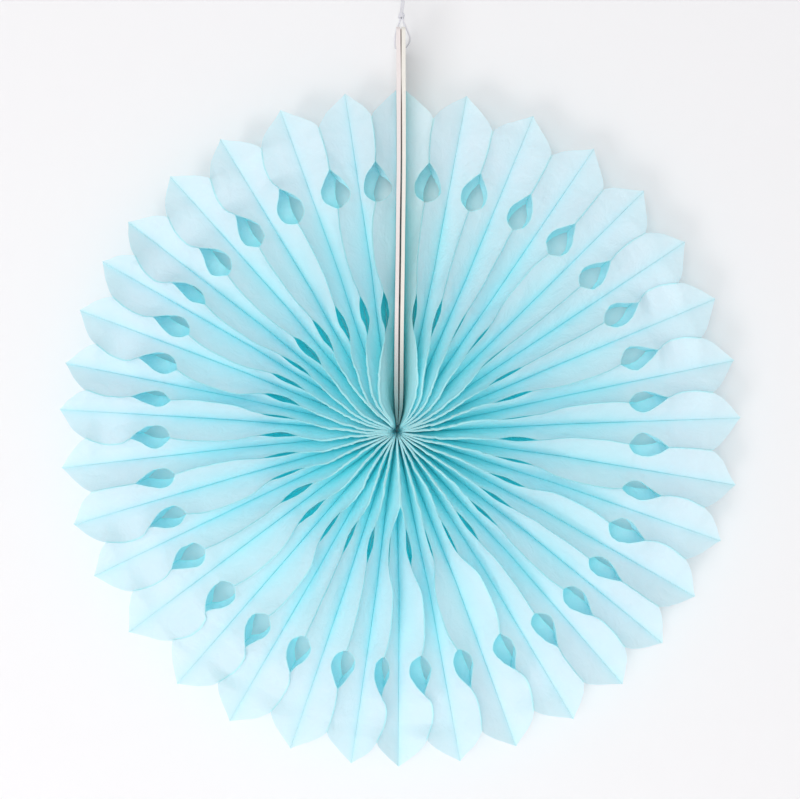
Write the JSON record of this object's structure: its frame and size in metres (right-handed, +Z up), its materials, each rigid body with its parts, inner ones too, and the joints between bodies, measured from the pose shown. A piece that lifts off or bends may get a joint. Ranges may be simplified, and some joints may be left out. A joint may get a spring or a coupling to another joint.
{
  "type": "paper fan rosette",
  "caption": "Cut tissue-paper fan opened to a full disc with a petalled rim, held by two card strips and hung from a thread loop.",
  "frame": {"origin": "inside top of the hanging loop", "axes": "-Y is the disc's front, +Z is up, and +X is to the right as seen from the front"},
  "size_m": [0.2517, 0.0258, 0.2975],
  "materials": {
    "tissue": "matt pale turquoise tissue, translucent",
    "card_right": "matt cream board with a cut edge",
    "card_left": "matt pinkish white board with a cut edge",
    "thread": "matt white twisted cotton"
  },
  "bodies": {
    "root": {"cell_01": "tissue", "cell_02": "tissue", "cell_03": "tissue", "cell_04": "tissue", "cell_05": "tissue", "cell_06": "tissue", "cell_07": "tissue", "cell_08": "tissue", "cell_09": "tissue", "cell_10": "tissue", "cell_11": "tissue", "cell_12": "tissue", "cell_13": "tissue", "cell_14": "tissue", "cell_15": "tissue", "cell_16": "tissue", "cell_17": "tissue", "cell_18": "tissue", "cell_19": "tissue", "cell_20": "tissue", "cell_21": "tissue", "cell_22": "tissue", "cell_23": "tissue", "cell_24": "tissue", "cell_25": "tissue", "cell_26": "tissue", "cell_27": "tissue", "cell_28": "tissue", "cell_29": "tissue", "cell_30": "tissue", "cell_31": "tissue", "cell_32": "tissue", "cell_33": "tissue", "cell_34": "tissue", "cell_35": "tissue", "card_strip_right": "card_right", "card_strip_left": "card_left", "thread": "thread", "lower_knot": "thread", "upper_knot": "thread"}
  },
  "joints": []
}
